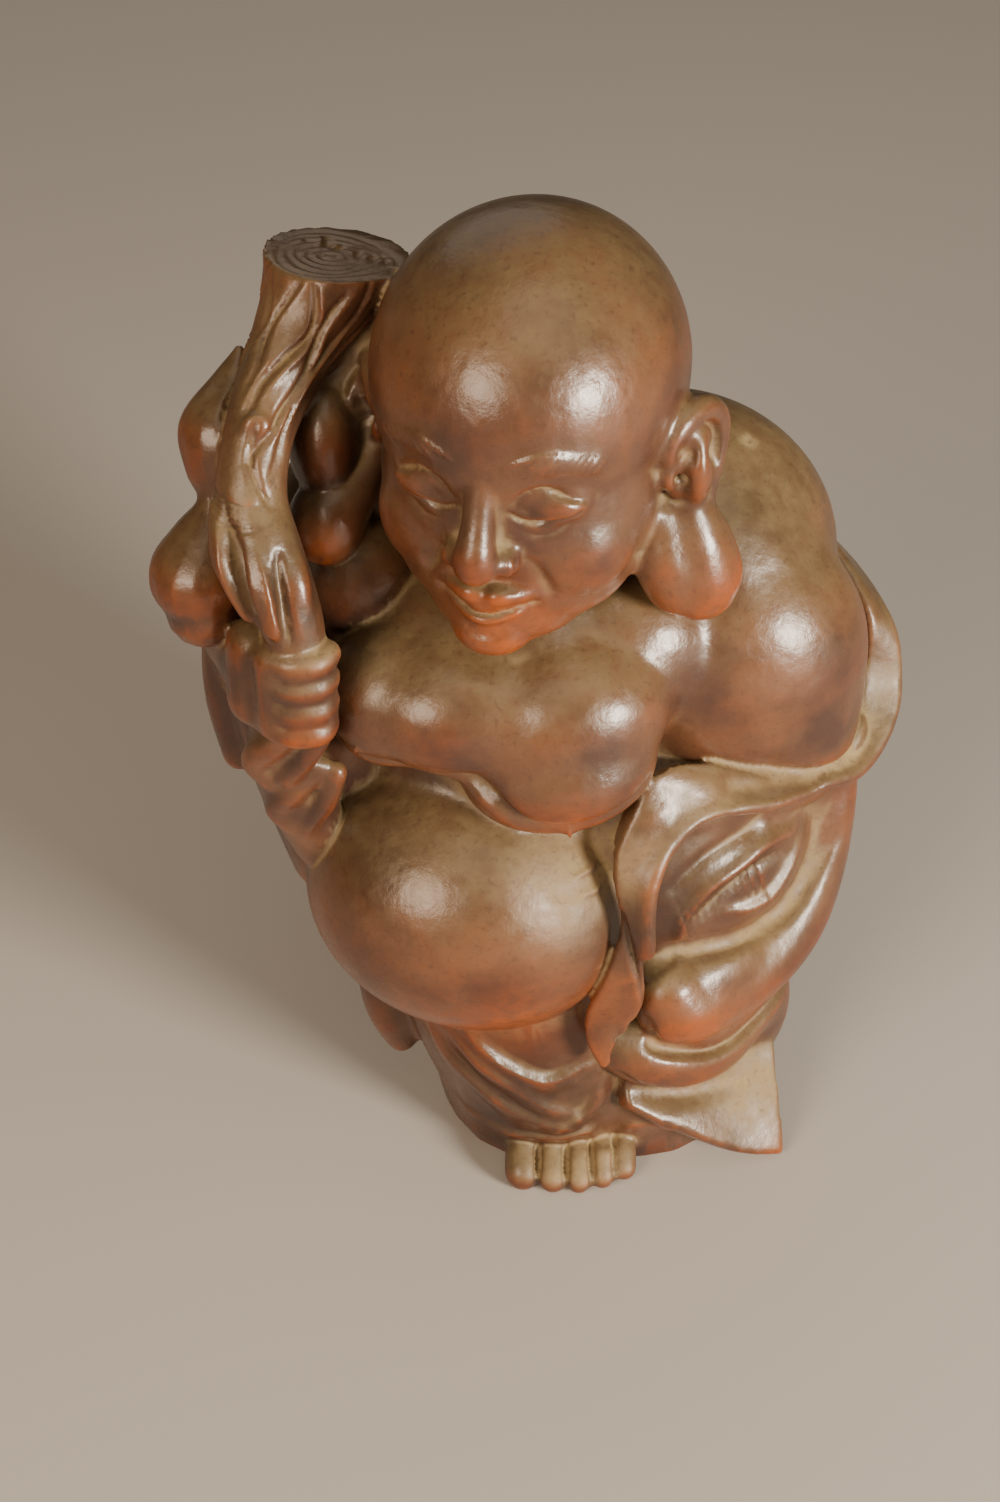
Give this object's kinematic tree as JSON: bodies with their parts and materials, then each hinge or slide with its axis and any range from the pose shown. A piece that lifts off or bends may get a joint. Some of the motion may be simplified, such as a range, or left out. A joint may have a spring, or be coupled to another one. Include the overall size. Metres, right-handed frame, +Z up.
{
  "type": "hotei figure",
  "caption": "Standing hotei figure: bald, long ear lobes, bare belly, loose robe, a gourd on a stump of branch over the shoulder; stands on its flat underside.",
  "frame": {"origin": "on the floor, in the flat underside, under the belly", "axes": "+Z up, the figure's body faces -Y, its left shoulder towards +X; the head turns towards -X"},
  "size_m": [0.1896, 0.1272, 0.2773],
  "materials": {
    "stoneware": "unglazed brown stoneware, burnished to a satin sheen, with pale dust in the creases"
  },
  "bodies": {
    "root": {"hotei_figure": "stoneware"}
  },
  "joints": []
}
